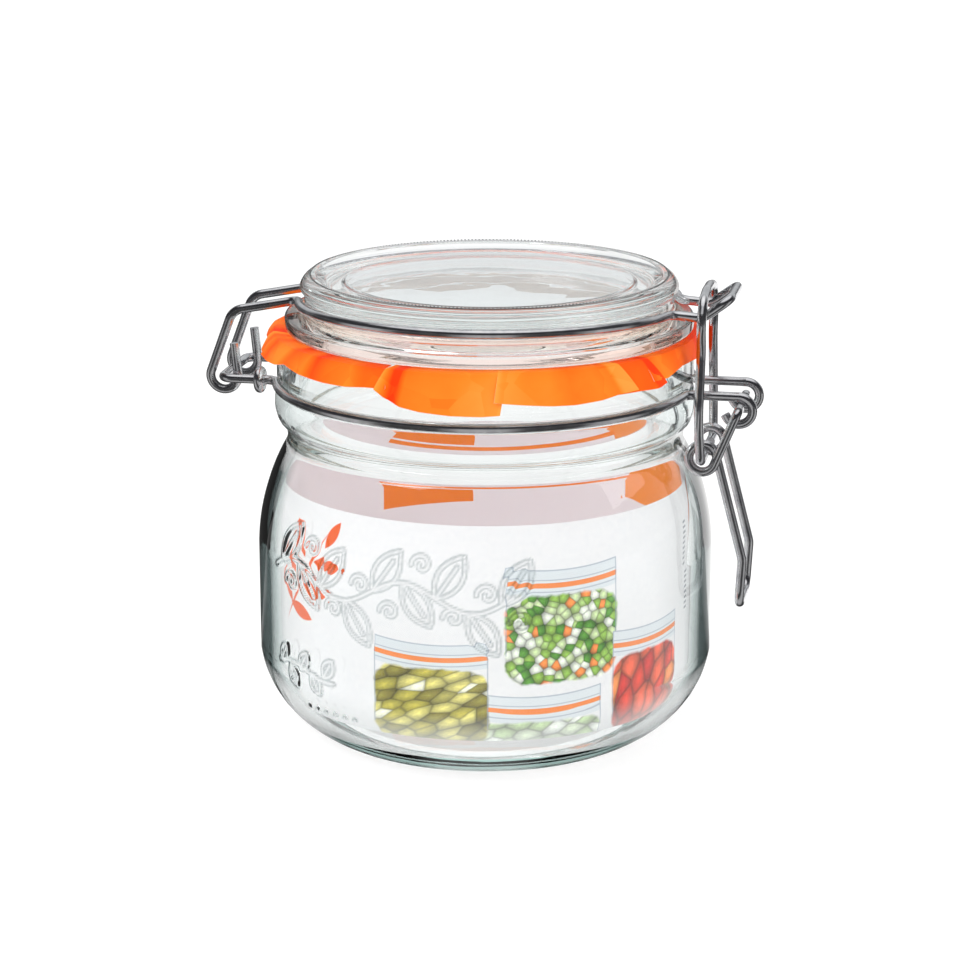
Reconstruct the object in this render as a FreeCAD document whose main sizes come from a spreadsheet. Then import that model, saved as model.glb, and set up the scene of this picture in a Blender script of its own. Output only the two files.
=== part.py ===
"""Clip-top preserving jar of clear glass, shut, with a pleated paper ring under its lid.

Frame: the origin is the middle of the base on the jar's axis and +Z is up.
The hinge is on -X and the clasp on +X. All sizes are millimetres.
"""
import FreeCAD, Part
import math
import os

import Sketcher

Vector = FreeCAD.Vector
document = FreeCAD.newDocument("clip_top_jar")
sheet = document.addObject("Spreadsheet::Sheet", "Sizes")


# --- sizes -----------------------------------------------------------------------------------
class Size:
    """A length: its number, and the sheet formula that gives the same number."""

    def __init__(self, number, formula):
        self.number = number
        self.formula = formula

    def __add__(self, other):
        return Size(self.number + other.number, "(" + self.formula + " + " + other.formula + ")")

    def __sub__(self, other):
        return Size(self.number - other.number, "(" + self.formula + " - " + other.formula + ")")


cell_row = 0


def cell(alias, number):
    """Write one driving dimension into the sheet and give it back as a Size."""
    global cell_row
    cell_row += 1
    sheet.set("A" + str(cell_row), alias)
    sheet.set("B" + str(cell_row), str(number))
    sheet.setAlias("B" + str(cell_row), alias)
    return Size(number, "Sizes." + alias)


# The glass jar
body_rad = cell("body_rad", 52.35)
wall_thick = cell("wall_thick", 2.8)
bearing_inner_rad = cell("bearing_inner_rad", 36.0)
bearing_rad = cell("bearing_rad", 38.5)
punt_rise = cell("punt_rise", 2.2)
floor_top = cell("floor_top", 6.2)
heel_top = cell("heel_top", 18.4)
heel_curve = cell("heel_curve", 24.0)
inner_floor_rad = cell("inner_floor_rad", 42.9)
inner_heel_curve = cell("inner_heel_curve", 21.2)
inner_heel_top = cell("inner_heel_top", 18.4)
shoulder_start = cell("shoulder_start", 44.0)
shoulder_end_rad = cell("shoulder_end_rad", 45.8)
shoulder_end = cell("shoulder_end", 65.8)
shoulder_curve = cell("shoulder_curve", 50.0)
neck_rad = cell("neck_rad", 45.0)
neck_level = cell("neck_level", 69.0)
neck_curve = cell("neck_curve", 5.0)
bead_rad = cell("bead_rad", 46.9)
bead_bottom = cell("bead_bottom", 72.6)
bead_top = cell("bead_top", 79.4)
bead_curve = cell("bead_curve", 8.0)
ring_level = cell("ring_level", 80.6)
ring_rad = cell("ring_rad", 47.35)
groove_curve = cell("groove_curve", 1.4)
groove_reach = cell("groove_reach", 1.35)
rim_rad = cell("rim_rad", 47.2)
rim_top = cell("rim_top", 92.0)
rim_edge = cell("rim_edge", 1.0)
mouth_rad = cell("mouth_rad", 42.6)
neck_inner_rad = cell("neck_inner_rad", 42.2)

# The glass lid
seal_thick = cell("seal_thick", 1.0)
seal_play = cell("seal_play", 0.04)
flange_rad = cell("flange_rad", 46.1)
flange_top = cell("flange_top", 96.3)
flange_edge = cell("flange_edge", 0.9)
lid_neck_rad = cell("lid_neck_rad", 41.6)
lid_neck_bottom = cell("lid_neck_bottom", 97.5)
lid_neck_top = cell("lid_neck_top", 101.0)
bulge_rad = cell("bulge_rad", 42.6)
bulge_level = cell("bulge_level", 102.1)
bulge_curve = cell("bulge_curve", 3.4)
crown_rad = cell("crown_rad", 40.9)
crown_top = cell("crown_top", 105.3)
crown_inner_rad = cell("crown_inner_rad", 39.4)
recess_rad = cell("recess_rad", 36.8)
recess_level = cell("recess_level", 103.2)
panel_rad = cell("panel_rad", 33.0)
panel_rise = cell("panel_rise", 0.5)
panel_edge = cell("panel_edge", 0.8)
lid_under = cell("lid_under", 98.0)
hollow_rad = cell("hollow_rad", 36.5)
plug_inner_rad = cell("plug_inner_rad", 37.4)
plug_rad = cell("plug_rad", 40.4)
plug_bottom = cell("plug_bottom", 90.2)
plug_top_rad = cell("plug_top_rad", 41.0)
lid_shift = cell("lid_shift", 0.9)

# The wires: all are bent from the same steel wire
wire_dia = cell("wire_dia", 2.1)
bend_turn = cell("bend_turn", 42.0)
bend_ease = cell("bend_ease", 0.98)
ring_ease = cell("ring_ease", 0.97)
ring_parts = cell("ring_parts", 9)
clasp_arm_side = cell("clasp_arm_side", 7.5)
clasp_pin_reach = cell("clasp_pin_reach", 58.45)
clasp_eye_curve = cell("clasp_eye_curve", 3.1)
clasp_eye_start = cell("clasp_eye_start", 90.0)
clasp_eye_end = cell("clasp_eye_end", -150.0)
clasp_tail = cell("clasp_tail", 0.6)
hinge_bar_side = cell("hinge_bar_side", 11.1)
hinge_reach = cell("hinge_reach", 58.95)
hinge_corner = cell("hinge_corner", 2.4)
tie_reach = cell("tie_reach", 49.8)
tie_curve = cell("tie_curve", 2.0)
arm_flare = cell("arm_flare", 3.0)
lid_ring_rad = cell("lid_ring_rad", 42.95)
lid_ring_level = cell("lid_ring_level", 99.95)
lid_ring_droop = cell("lid_ring_droop", 1.25)
lid_arm_side = cell("lid_arm_side", 8.55)
hook_curve = cell("hook_curve", 3.2)
hook_end_rise = cell("hook_end_rise", 7.6)
hook_end_inset = cell("hook_end_inset", 2.5)
knee_reach = cell("knee_reach", 56.65)
knee_level = cell("knee_level", 95.8)
knee_curve = cell("knee_curve", 4.0)
loop_foot_reach = cell("loop_foot_reach", 50.15)
loop_foot_level = cell("loop_foot_level", 98.2)
loop_foot_curve = cell("loop_foot_curve", 4.0)
loop_reach = cell("loop_reach", 56.15)
loop_level = cell("loop_level", 102.6)
loop_corner = cell("loop_corner", 2.6)

# The lever and the bail
eye_reach = cell("eye_reach", 50.75)
eye_level = cell("eye_level", 66.6)
eye_curve = cell("eye_curve", 3.0)
link_side = cell("link_side", 9.8)
leg_side = cell("leg_side", 7.6)
pin_end_side = cell("pin_end_side", 5.8)
handle_knee_reach = cell("handle_knee_reach", 60.05)
handle_knee_level = cell("handle_knee_level", 43.2)
handle_knee_curve = cell("handle_knee_curve", 5.0)
handle_end_reach = cell("handle_end_reach", 59.45)
handle_end_level = cell("handle_end_level", 32.3)
handle_corner = cell("handle_corner", 3.6)
bail_reach = cell("bail_reach", 50.35)
bail_foot_side = cell("bail_foot_side", 12.4)
bail_pin_side = cell("bail_pin_side", 6.4)
bail_bulge_side = cell("bail_bulge_side", 14.6)
bail_bulge_level = cell("bail_bulge_level", 76.5)
bail_pinch_side = cell("bail_pinch_side", 11.2)
bail_pinch_level = cell("bail_pinch_level", 91.5)
bail_shoulder_side = cell("bail_shoulder_side", 12.6)
bail_shoulder_level = cell("bail_shoulder_level", 97.6)
bail_top_level = cell("bail_top_level", 103.4)
bail_bulge_curve = cell("bail_bulge_curve", 14.0)
bail_pinch_curve = cell("bail_pinch_curve", 9.0)
bail_shoulder_curve = cell("bail_shoulder_curve", 5.0)
bail_haunch_side = cell("bail_haunch_side", 9.3)
bail_haunch_level = cell("bail_haunch_level", 102.4)
bail_haunch_curve = cell("bail_haunch_curve", 4.4)
bail_crest_side = cell("bail_crest_side", 3.15)
bail_crest_curve = cell("bail_crest_curve", 7.0)
pin_bend = cell("pin_bend", 1.7)

# The paper: a pleated ring under the lid and a rolled leaflet in the jar
frill_inner_rad = cell("frill_inner_rad", 43.6)
frill_gap = cell("frill_gap", 0.2)
frill_thick = cell("frill_thick", 0.55)
frill_flare = cell("frill_flare", 3.3)
frill_drop = cell("frill_drop", 6.2)
lobe_drop = cell("lobe_drop", 1.5)
frill_lobes = cell("frill_lobes", 9)
frill_pleats = cell("frill_pleats", 36)
pleat_depth = cell("pleat_depth", 0.3)
frill_stations = cell("frill_stations", 144)
lobe_drift = cell("lobe_drift", 0.8)
lobe_reach = cell("lobe_reach", 0.3)
knee_swell = cell("knee_swell", 0.9)
knee_share = cell("knee_share", 0.3)
clasp_blend = cell("clasp_blend", 14.0)
clasp_half_angle = cell("clasp_half_angle", 21)
leaflet_rad = cell("leaflet_rad", 47.4)
leaflet_thick = cell("leaflet_thick", 0.5)
leaflet_bottom = cell("leaflet_bottom", 12.6)
leaflet_bend = cell("leaflet_bend", 49.5)
leaflet_top_rad = cell("leaflet_top_rad", 46.0)
leaflet_top = cell("leaflet_top", 58.8)
axis_rad = cell("axis_rad", 0.0)
ground = cell("ground", 0.0)
document.recompute()


# --- turned pieces ---------------------------------------------------------------------------
def origin_plane(body, role):
    """One of the body's own three origin planes."""
    return [item for item in body.Origin.OriginFeatures if item.Role == role][0]


def arc_shape(start, end, radius, turn):
    """The arc of this radius from start to end; turn is +1 when the path bends to the left."""
    chord = end - start
    left = Vector(-chord.y, chord.x, 0).normalize()
    rise = math.sqrt(radius ** 2 - (chord.Length / 2) ** 2)
    centre = start + chord * 0.5 + left * (turn * rise)
    first, last = (start, end) if turn > 0 else (end, start)
    angle_first = math.atan2(first.y - centre.y, first.x - centre.x)
    angle_last = math.atan2(last.y - centre.y, last.x - centre.x)
    if angle_last < angle_first:
        angle_last += 2 * math.pi
    circle = Part.Circle(centre, Vector(0, 0, 1), radius)
    return Part.ArcOfCircle(circle, angle_first, angle_last)


def fix_coordinate(sketch, kind, axis, edge, vertex, size):
    """Tie one coordinate of a corner to the sheet, or to the axis where it is nought."""
    if abs(size.number) < 1e-9:
        sketch.addConstraint(Sketcher.Constraint("PointOnObject", edge, vertex, axis))
        return
    index = sketch.addConstraint(Sketcher.Constraint(kind, edge, vertex, size.number))
    sketch.setExpression("Constraints[" + str(index) + "]", size.formula)


def turned_body(label, outline):
    """Turn a closed outline about the vertical axis.

    The outline is a list of (radius, height) corners, each with the arc that leads to it:
    None for a straight side, or (curve, turn).
    """
    body = document.addObject("PartDesign::Body", label)
    body.Label = label
    sketch = body.newObject("Sketcher::SketchObject", label + "_outline")
    sketch.AttachmentSupport = [(origin_plane(body, "XZ_Plane"), "")]
    sketch.MapMode = "FlatFace"
    ends = []
    for number, (radius, height, arc) in enumerate(outline):
        before = outline[number - 1]
        start = Vector(before[0].number, before[1].number, 0)
        end = Vector(radius.number, height.number, 0)
        if arc is None:
            sketch.addGeometry(Part.LineSegment(start, end))
            ends.append((1, 2))
        else:
            curve, turn = arc
            sketch.addGeometry(arc_shape(start, end, curve.number, turn))
            ends.append((1, 2) if turn > 0 else (2, 1))
    for number, (radius, height, arc) in enumerate(outline):
        following = (number + 1) % len(outline)
        own_end = ends[number][1]
        next_start = ends[following][0]
        join = Sketcher.Constraint("Coincident", number, own_end, following, next_start)
        sketch.addConstraint(join)
        fix_coordinate(sketch, "DistanceX", -2, number, own_end, radius)
        fix_coordinate(sketch, "DistanceY", -1, number, own_end, height)
        if arc is not None:
            index = sketch.addConstraint(Sketcher.Constraint("Radius", number, arc[0].number))
            sketch.setExpression("Constraints[" + str(index) + "]", arc[0].formula)
    turned = body.newObject("PartDesign::Revolution", label + "_turned")
    turned.Profile = sketch
    turned.ReferenceAxis = (sketch, ["V_Axis"])
    turned.Angle = 360
    body.Tip = turned
    return body


LEFT = 1
RIGHT = -1

# The jar: up the outside from the punt, over the rim, and down the inside
jar_outline = [
    (axis_rad, punt_rise, None),
    (bearing_inner_rad - punt_rise, punt_rise, None),
    (bearing_inner_rad, ground, None),
    (bearing_rad, ground, None),
    (body_rad, heel_top, (heel_curve, LEFT)),
    (body_rad, shoulder_start, None),
    (shoulder_end_rad, shoulder_end, (shoulder_curve, LEFT)),
    (neck_rad, neck_level, (neck_curve, RIGHT)),
    (bead_rad, bead_bottom, (neck_curve, RIGHT)),
    (rim_rad, bead_top, (bead_curve, LEFT)),
    (rim_rad, ring_level - groove_reach, None),
    (rim_rad, ring_level + groove_reach, (groove_curve, RIGHT)),
    (rim_rad, rim_top - rim_edge, None),
    (rim_rad - rim_edge, rim_top, (rim_edge, LEFT)),
    (mouth_rad + rim_edge, rim_top, None),
    (mouth_rad, rim_top - rim_edge, (rim_edge, LEFT)),
    (neck_inner_rad, neck_level, None),
    (body_rad - wall_thick, shoulder_start, (shoulder_curve - wall_thick, RIGHT)),
    (body_rad - wall_thick, inner_heel_top, None),
    (inner_floor_rad, floor_top, (inner_heel_curve, RIGHT)),
    (axis_rad, floor_top, None),
]
jar = turned_body("jar", jar_outline)

# The lid: out along its underside, up its edge, over the crown and in over the sunk top
flange_bottom = rim_top + seal_thick
lid_outline = [
    (axis_rad, lid_under, None),
    (hollow_rad, lid_under, None),
    (plug_inner_rad, plug_bottom, None),
    (plug_rad, plug_bottom, None),
    (plug_top_rad, flange_bottom, None),
    (flange_rad - flange_edge, flange_bottom, None),
    (flange_rad, flange_bottom + flange_edge, (flange_edge, LEFT)),
    (flange_rad, flange_top - flange_edge, None),
    (flange_rad - flange_edge, flange_top, (flange_edge, LEFT)),
    (lid_neck_rad, lid_neck_bottom, None),
    (lid_neck_rad, lid_neck_top, None),
    (bulge_rad, bulge_level, None),
    (crown_rad, crown_top, (bulge_curve, LEFT)),
    (crown_inner_rad, crown_top, None),
    (recess_rad, recess_level, None),
    (panel_rad, recess_level, None),
    (panel_rad - panel_edge, recess_level + panel_rise, None),
    (axis_rad, recess_level + panel_rise, None),
]
lid = turned_body("lid", lid_outline)
lid.setExpression("Placement.Base.x", lid_shift.formula)


# --- bent wires ------------------------------------------------------------------------------
def bent_path(corners):
    """A wire's centre line: straight runs joined by tangent arcs of each corner's radius."""
    edges = []
    start = corners[0][0]
    for number in range(1, len(corners) - 1):
        corner, radius = corners[number]
        back = (corners[number - 1][0] - corner).normalize()
        ahead = (corners[number + 1][0] - corner).normalize()
        half_angle = back.getAngle(ahead) / 2
        setback = radius / math.tan(half_angle)
        first = corner + back * setback
        last = corner + ahead * setback
        inward = (back + ahead).normalize()
        middle = corner + inward * (radius / math.sin(half_angle) - radius)
        edges.append(Part.LineSegment(start, first).toShape())
        edges.append(Part.Arc(first, middle, last).toShape())
        start = last
    edges.append(Part.LineSegment(start, corners[-1][0]).toShape())
    return Part.Wire(edges)


def wire_solid(corners):
    """Sweep the round section of the wire along its centre line, and check its volume."""
    path = bent_path(corners)
    start = corners[0][0]
    direction = corners[1][0] - start
    section = Part.Wire(Part.Circle(start, direction, wire_dia.number / 2).toShape())
    solid = path.makePipeShell([section], True, False)
    expected = math.pi * (wire_dia.number / 2) ** 2 * path.Length
    if abs(solid.Volume / expected - 1) > 0.01:
        raise ValueError("a wire's volume does not fit its length")
    return solid


def mirrored(corners):
    """The same corners on the other side of the jar's middle plane, in reverse order."""
    return [(Vector(point.x, -point.y, point.z), radius) for point, radius in reversed(corners)]


def coil_corners(centre_x, centre_z, curve, first_angle, last_angle, first_side, last_side):
    """Corners of a round bend in the XZ plane, in degrees, that slips from side to side."""
    parts = max(3, round(abs(last_angle - first_angle) / bend_turn.number))
    step = math.radians(last_angle - first_angle) / parts
    reach = curve / math.cos(step / 2)
    corners = []
    for part in range(parts):
        angle = math.radians(first_angle) + step * (part + 0.5)
        side = first_side + (last_side - first_side) * (part + 0.5) / parts
        place = Vector(centre_x + reach * math.cos(angle), side, centre_z + reach * math.sin(angle))
        corners.append((place, curve * bend_ease.number))
    return corners


def touch_angle(centre_x, centre_z, curve, point_x, point_z, side):
    """Angle, in degrees, at which a straight run from a point touches a round bend."""
    towards = math.atan2(point_z - centre_z, point_x - centre_x)
    distance = math.hypot(point_x - centre_x, point_z - centre_z)
    return math.degrees(towards + side * math.acos(curve / distance))


def ring_corners(radius, level, droop, arm_side_first, arm_side_last, flare, middle):
    """Corners of half a ring on -Y, from the hinge arm (-X) round to the clasp arm (+X).

    The ring droops towards its two arms, and each arm flares away from it. Its middle lies
    this far along X.
    """
    def leave_angle(arm_side):
        return math.degrees(math.asin((arm_side + flare) / (radius + flare)))

    first = 180 + leave_angle(arm_side_first)
    last = 360 - leave_angle(arm_side_last)
    parts = ring_parts.number
    step = math.radians(last - first) / parts
    reach = radius / math.cos(step / 2)
    corners = []
    for part in range(parts):
        angle = math.radians(first) + step * (part + 0.5)
        place_z = level - droop * math.cos(angle) ** 4
        place = Vector(middle + reach * math.cos(angle), reach * math.sin(angle), place_z)
        corners.append((place, radius * ring_ease.number))
    return corners


def flare_corner(radius, flare, arm_side, direction, level, middle):
    """The corner where a ring turns out into a straight arm along X on the -Y side."""
    centre_x = math.sqrt((radius + flare) ** 2 - (arm_side + flare) ** 2)
    touch_x = centre_x * radius / (radius + flare)
    touch_y = (arm_side + flare) * radius / (radius + flare)
    slope = touch_x / touch_y
    corner_x = touch_x + (touch_y - arm_side) / slope
    place = Vector(middle + direction * corner_x, -arm_side, level)
    return (place, flare * ring_ease.number)


def add_wire(label, corners):
    feature = document.addObject("Part::Feature", label)
    feature.Label = label
    feature.Shape = wire_solid(corners)
    feature.Placement = FreeCAD.Placement()
    return feature


pin_level = ring_level.number - clasp_eye_curve.number
hinge_level = ring_level.number


def neck_wire_corners():
    """One wire: clasp eye, arm, half ring, hinge bar, and the same again on the far side."""
    side = clasp_arm_side.number
    bar_side = hinge_bar_side.number
    reach = clasp_pin_reach.number
    curve = clasp_eye_curve.number
    radius = ring_rad.number
    flare = arm_flare.number
    level = ring_level.number
    first = clasp_eye_start.number
    last = clasp_eye_end.number
    eye = coil_corners(reach, pin_level, curve, first, last, -side, -side)
    tail_angle = math.radians(last)
    tail_x = reach + curve * math.cos(tail_angle) + clasp_tail.number * math.sin(tail_angle)
    tail_z = pin_level + curve * math.sin(tail_angle) - clasp_tail.number * math.cos(tail_angle)
    half = [(Vector(-hinge_reach.number, 0, level), 0)]
    half.append((Vector(-hinge_reach.number, -bar_side, level), hinge_corner.number))
    half.append(flare_corner(radius, flare, bar_side, -1, level, 0))
    half += ring_corners(radius, level, 0, bar_side, side, flare, 0)
    half.append(flare_corner(radius, flare, side, 1, level, 0))
    half += eye
    half.append((Vector(tail_x, -side, tail_z), 0))
    return mirrored(half)[:-1] + half[1:]


def lid_wire_corners():
    """One wire: hook, arm, half ring, front loop, and the same again on the far side."""
    side = lid_arm_side.number
    axis_x = -hinge_reach.number
    curve = hook_curve.number
    radius = lid_ring_rad.number
    flare = arm_flare.number
    end_x = axis_x + hook_end_inset.number
    end_z = hinge_level + hook_end_rise.number
    knee_x = -knee_reach.number
    knee_z = knee_level.number
    free_angle = touch_angle(axis_x, hinge_level, curve, end_x, end_z, -1) + 360
    arm_angle = touch_angle(axis_x, hinge_level, curve, knee_x, knee_z, 1)
    arm_level = lid_ring_level.number - lid_ring_droop.number
    half = [(Vector(end_x, -side, end_z), 0)]
    half += coil_corners(axis_x, hinge_level, curve, free_angle, arm_angle, -side, -side)
    half.append((Vector(knee_x, -side, knee_z), knee_curve.number))
    ring_level_top = lid_ring_level.number
    droop = lid_ring_droop.number
    middle = lid_shift.number
    half.append(flare_corner(radius, flare, side, -1, arm_level, middle))
    half += ring_corners(radius, ring_level_top, droop, side, side, flare, middle)
    half.append(flare_corner(radius, flare, side, 1, arm_level, middle))
    foot = Vector(loop_foot_reach.number, -side, loop_foot_level.number)
    half.append((foot, loop_foot_curve.number))
    half.append((Vector(loop_reach.number, -side, loop_level.number), loop_corner.number))
    return half + mirrored(half)


def lever_corners():
    """Pivot pin, short link, one turn round the bail's pin, leg, knee and the cross bar."""
    eye_x = eye_reach.number
    eye_z = eye_level.number
    curve = eye_curve.number
    pin_x = clasp_pin_reach.number
    knee_x = handle_knee_reach.number
    knee_z = handle_knee_level.number
    first = touch_angle(eye_x, eye_z, curve, pin_x, pin_level, -1)
    last = touch_angle(eye_x, eye_z, curve, knee_x, knee_z, 1) - 360
    half = [(Vector(pin_x, -pin_end_side.number, pin_level), 0)]
    half.append((Vector(pin_x, -link_side.number, pin_level), pin_bend.number))
    half += coil_corners(eye_x, eye_z, curve, first, last, -link_side.number, -leg_side.number)
    half.append((Vector(knee_x, -leg_side.number, knee_z), handle_knee_curve.number))
    end = Vector(handle_end_reach.number, -leg_side.number, handle_end_level.number)
    half.append((end, handle_corner.number))
    return half + mirrored(half)


def bail_corners():
    """Pin in the lever's eye, bowed leg, pinch, and the arch over the lid wire's loop."""
    reach = bail_reach.number
    eye_x = eye_reach.number
    eye_z = eye_level.number
    top = bail_top_level.number
    shoulder = bail_shoulder_side.number
    half = [(Vector(eye_x, -bail_pin_side.number, eye_z), 0)]
    half.append((Vector(eye_x, -bail_foot_side.number, eye_z), pin_bend.number))
    bulge = Vector(reach, -bail_bulge_side.number, bail_bulge_level.number)
    pinch = Vector(reach, -bail_pinch_side.number, bail_pinch_level.number)
    half.append((bulge, bail_bulge_curve.number))
    half.append((pinch, bail_pinch_curve.number))
    half.append((Vector(reach, -shoulder, bail_shoulder_level.number), bail_shoulder_curve.number))
    half.append((Vector(reach, -bail_haunch_side.number, bail_haunch_level.number),
                 bail_haunch_curve.number))
    half.append((Vector(reach, -bail_crest_side.number, top), bail_crest_curve.number))
    return half + mirrored(half)


neck_wire = add_wire("neck_wire", neck_wire_corners())
ties = []
for side in (-1, 1):
    centre = Vector(-tie_reach.number, side * hinge_bar_side.number, ring_level.number)
    tie = Part.makeTorus(tie_curve.number, wire_dia.number / 2, centre, Vector(1, 0, 0))
    ties.append(tie)
neck_wire.Shape = neck_wire.Shape.fuse(ties)
neck_wire.Placement = FreeCAD.Placement()
lid_wire = add_wire("lid_wire", lid_wire_corners())
lever = add_wire("lever", lever_corners())
bail = add_wire("bail", bail_corners())


# --- paper -----------------------------------------------------------------------------------
def frill_section(angle):
    """Corners of the pleated ring's section at one angle: the top side out, then back below."""
    thick = frill_thick.number
    band_top = rim_top.number + seal_thick.number - seal_play.number
    band_bottom = rim_top.number + seal_play.number
    wave = math.cos(frill_lobes.number * angle + lobe_drift.number * math.sin(2 * angle))
    pleat = pleat_depth.number * math.sin(frill_pleats.number * angle)
    from_clasp = abs(math.degrees(math.atan2(math.sin(angle), math.cos(angle))))
    beyond_clasp = (from_clasp - clasp_half_angle.number) / clasp_blend.number
    open_part = min(1.0, max(0.0, beyond_clasp))
    lobe = 1 - lobe_reach.number + lobe_reach.number * wave
    skirt = rim_rad.number + frill_gap.number
    knee = skirt + open_part * (knee_swell.number + pleat)
    edge = skirt + open_part * (frill_flare.number * lobe + pleat)
    low = rim_top.number - frill_drop.number - lobe_drop.number * wave
    knee_low = rim_top.number - knee_share.number * frill_drop.number
    top_side = [
        (frill_inner_rad.number, band_top),
        (skirt + thick / 2, band_top),
        (knee + thick, knee_low),
        (edge + thick, low),
    ]
    under_side = [
        (edge, low),
        (knee, knee_low - thick / 2),
        (skirt, band_bottom),
        (frill_inner_rad.number, band_bottom),
    ]
    return top_side + under_side


def frill_shape():
    """Join the sections round the jar with small flat faces."""
    stations = frill_stations.number
    rows = []
    for station in range(stations):
        angle = 2 * math.pi * station / stations
        row = [
            Vector(rad * math.cos(angle), rad * math.sin(angle), height)
            for rad, height in frill_section(angle)
        ]
        rows.append(row)
    faces = []
    for station in range(stations):
        here = rows[station]
        there = rows[(station + 1) % stations]
        for number in range(len(here)):
            following = (number + 1) % len(here)
            for loop in (
                (here[number], here[following], there[following]),
                (here[number], there[following], there[number]),
            ):
                faces.append(Part.Face(Part.makePolygon(list(loop) + [loop[0]])))
    shell = Part.makeShell(faces)
    solid = Part.makeSolid(shell)
    if solid.Volume < 0:
        solid.reverse()
    return solid


frill = document.addObject("Part::Feature", "frill")
frill.Label = "frill"
frill.Shape = frill_shape()
frill.Placement = FreeCAD.Placement()

leaflet = turned_body("leaflet", [
    (leaflet_rad - leaflet_thick, leaflet_bottom, None),
    (leaflet_rad, leaflet_bottom, None),
    (leaflet_rad, leaflet_bend, None),
    (leaflet_top_rad, leaflet_top, None),
    (leaflet_top_rad - leaflet_thick, leaflet_top, None),
    (leaflet_rad - leaflet_thick, leaflet_bend, None),
])

# --- check and write -------------------------------------------------------------------------
document.recompute()
pieces = [jar, lid, neck_wire, lid_wire, lever, bail, frill, leaflet]
for item in document.Objects:
    if "Invalid" in item.State or "Error" in item.State:
        raise RuntimeError(item.Label + " failed: " + str(item.State))
os.makedirs("parts", exist_ok=True)
for piece in pieces:
    shape = piece.Shape
    if shape.isNull() or not shape.isValid() or len(shape.Solids) != 1:
        raise RuntimeError(piece.Label + " is not one valid solid")
    box = shape.BoundBox
    print(piece.Label, "volume", round(shape.Volume, 1), "mm3, x", round(box.XMin, 2),
          round(box.XMax, 2), "y", round(box.YMin, 2), round(box.YMax, 2),
          "z", round(box.ZMin, 2), round(box.ZMax, 2))
    shape.exportStep("parts/" + piece.Label + ".step")
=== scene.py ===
# %% [markdown]
# # A clip-top preserving jar
# The jar is pressed glass with a glass lid, shut by bent steel wire, with a pleated paper ring
# under the lid and a printed leaflet rolled up inside. The CAD parts give every place and size.
# Glass is all about thin, smooth walls, so the jar and the lid are turned again here with finer
# steps than a CAD mesh has, and the paper is made as folded sheets. The wires keep their CAD shape.

# %% Load the frame
import bpy
import math
import numpy as np
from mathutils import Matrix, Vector


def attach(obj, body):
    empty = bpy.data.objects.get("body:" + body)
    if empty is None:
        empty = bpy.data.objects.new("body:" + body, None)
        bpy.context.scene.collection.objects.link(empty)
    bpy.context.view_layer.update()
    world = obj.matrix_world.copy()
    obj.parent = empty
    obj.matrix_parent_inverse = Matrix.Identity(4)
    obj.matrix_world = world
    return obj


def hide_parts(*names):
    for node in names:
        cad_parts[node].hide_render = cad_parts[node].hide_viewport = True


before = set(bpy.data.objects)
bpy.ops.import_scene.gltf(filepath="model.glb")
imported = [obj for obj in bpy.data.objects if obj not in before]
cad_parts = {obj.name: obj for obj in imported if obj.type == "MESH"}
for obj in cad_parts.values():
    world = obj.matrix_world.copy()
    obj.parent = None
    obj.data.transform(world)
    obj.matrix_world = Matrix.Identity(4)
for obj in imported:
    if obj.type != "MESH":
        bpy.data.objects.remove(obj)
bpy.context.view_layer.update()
MM = 0.001

# %% [markdown]
# ## Camera
# The jar is seen from a little to the right of its middle and from above. A long lens about 66 cm
# away keeps the ellipses of the lid and the base nearly parallel.

# %% Camera
VIEW_TURN = math.radians(11.0)
VIEW_DOWN = math.radians(15.26)
CAMERA_AWAY, CAMERA_HIGH = 633 * MM, 228 * MM
camera_data = bpy.data.cameras.new("camera")
camera_data.sensor_width = 36.0
camera_data.lens = 106.1
camera_data.clip_start = 0.02
camera_data.clip_end = 60.0
camera = bpy.data.objects.new("camera", camera_data)
bpy.context.scene.collection.objects.link(camera)
camera.location = (
    CAMERA_AWAY * math.sin(VIEW_TURN), -CAMERA_AWAY * math.cos(VIEW_TURN), CAMERA_HIGH)
camera.rotation_euler = (math.radians(90) - VIEW_DOWN, 0, VIEW_TURN + math.radians(0.01))
bpy.context.scene.camera = camera
bpy.context.scene.view_settings.view_transform = "Standard"
bpy.context.scene.cycles.max_bounces = 24
bpy.context.scene.cycles.transmission_bounces = 24
bpy.context.scene.cycles.glossy_bounces = 8
bpy.context.scene.cycles.diffuse_bounces = 8
print("camera at", [round(c / MM) for c in camera.location], "mm")

# %% [markdown]
# ## Node helpers
# A shader tree reads best when each node is one line, so these helpers add a node, set its
# properties and fill its inputs. An input that is a socket is linked, and a number is written in.


# %% Node helpers
def add_node(tree, kind, inputs=None, **settings):
    """Add one node. `inputs` maps input names or numbers to a socket or to a plain value."""
    node = tree.nodes.new(kind)
    for name, value in settings.items():
        setattr(node, name, value)
    for name, value in (inputs or {}).items():
        if isinstance(value, bpy.types.NodeSocket):
            tree.links.new(value, node.inputs[name])
        else:
            node.inputs[name].default_value = value
    return node


def calculate(tree, operation, first, second=0.0, third=0.0, clamp=False):
    """One Math node's result."""
    values = {0: first, 1: second, 2: third}
    node = add_node(tree, "ShaderNodeMath", operation=operation, use_clamp=clamp)
    for number, value in values.items():
        if isinstance(value, bpy.types.NodeSocket):
            tree.links.new(value, node.inputs[number])
        else:
            node.inputs[number].default_value = value
    return node.outputs[0]


def plus(tree, first, second):
    """first + second."""
    return calculate(tree, "ADD", first, second)


def minus(tree, first, second):
    """first - second."""
    return calculate(tree, "SUBTRACT", first, second)


def times(tree, first, second):
    """first * second."""
    return calculate(tree, "MULTIPLY", first, second)


def scaled(tree, value, factor, offset, clamp=False):
    """value * factor + offset."""
    return calculate(tree, "MULTIPLY_ADD", value, factor, offset, clamp)


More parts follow.
